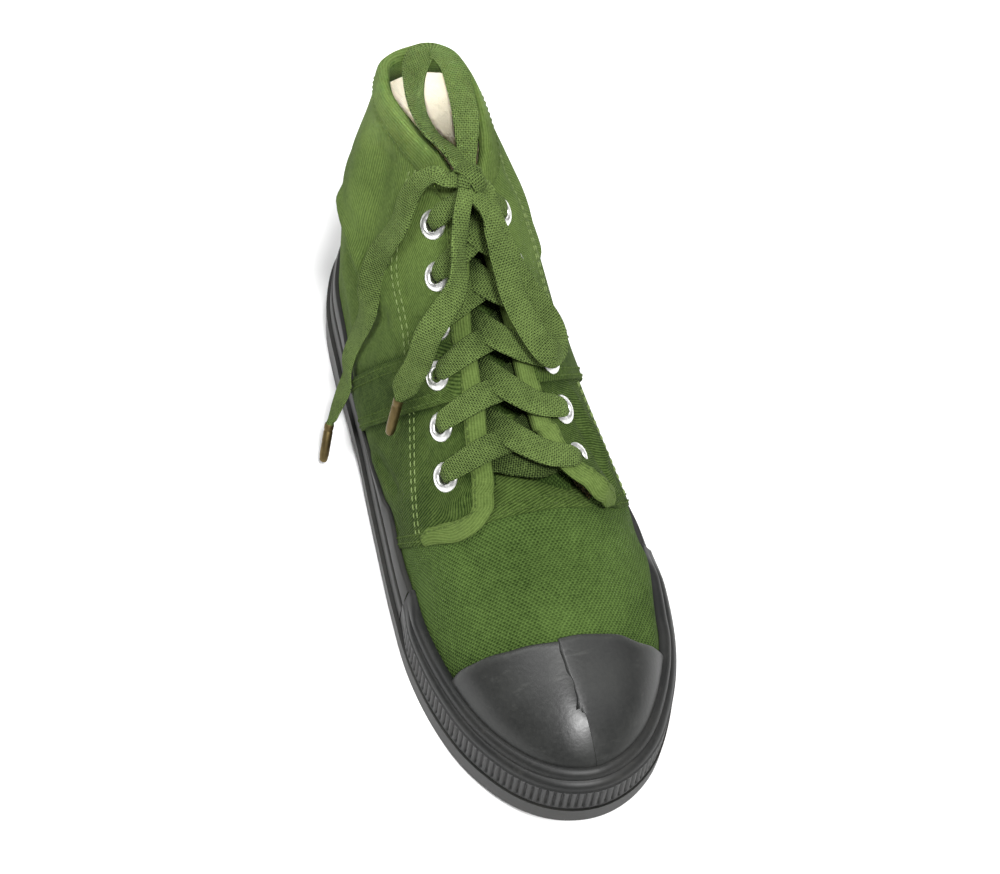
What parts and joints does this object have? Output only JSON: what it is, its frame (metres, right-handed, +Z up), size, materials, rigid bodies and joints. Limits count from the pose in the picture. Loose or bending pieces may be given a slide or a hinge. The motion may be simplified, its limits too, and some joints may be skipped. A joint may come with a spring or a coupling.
{
  "type": "army shoe",
  "caption": "High lace-up canvas army shoe for the left foot, with a rubber toe cap, ribbed toe bumper and lugged rubber sole.",
  "frame": {"origin": "middle of the sole's box on the floor plane, the free lace left out", "axes": "+Y towards the heel, -Y towards the toe, +X towards the wearer's outer side, +Z up from the floor"},
  "size_m": [0.1107, 0.28, 0.1545],
  "materials": {
    "green_canvas": "matt woven canvas",
    "black_rubber": "matt moulded rubber",
    "cream_lining": "matt cotton",
    "pale_metal": "satin pressed metal",
    "green_lace": "flat braid",
    "brass_tip": "dull brass"
  },
  "bodies": {
    "root": {"upper": "green_canvas", "facing_inner": "green_canvas", "facing_outer": "green_canvas", "waist_band_inner": "green_canvas", "waist_band_outer": "green_canvas", "collar_binding": "green_canvas", "tongue": "green_canvas", "outsole": "black_rubber", "foxing": "black_rubber", "toe_bumper": "black_rubber", "toe_cap": "black_rubber", "insole": "cream_lining", "eyelet_inner_1": "pale_metal", "eyelet_inner_2": "pale_metal", "eyelet_inner_3": "pale_metal", "eyelet_inner_4": "pale_metal", "eyelet_inner_5": "pale_metal", "eyelet_inner_6": "pale_metal", "eyelet_outer_1": "pale_metal", "eyelet_outer_2": "pale_metal", "eyelet_outer_3": "pale_metal", "eyelet_outer_4": "pale_metal", "eyelet_outer_5": "pale_metal", "eyelet_outer_6": "pale_metal", "lace_bar": "green_lace", "lace_top": "green_lace", "lace_cross_1": "green_lace", "lace_cross_2": "green_lace", "lace_cross_3": "green_lace", "lace_cross_4": "green_lace", "lace_cross_5": "green_lace", "lace_knot": "green_lace", "lace_loop_up": "green_lace", "lace_loop_side": "green_lace", "lace_end_inner": "green_lace", "lace_end_front": "green_lace", "aglet_inner": "brass_tip", "aglet_front": "brass_tip"}
  },
  "joints": []
}
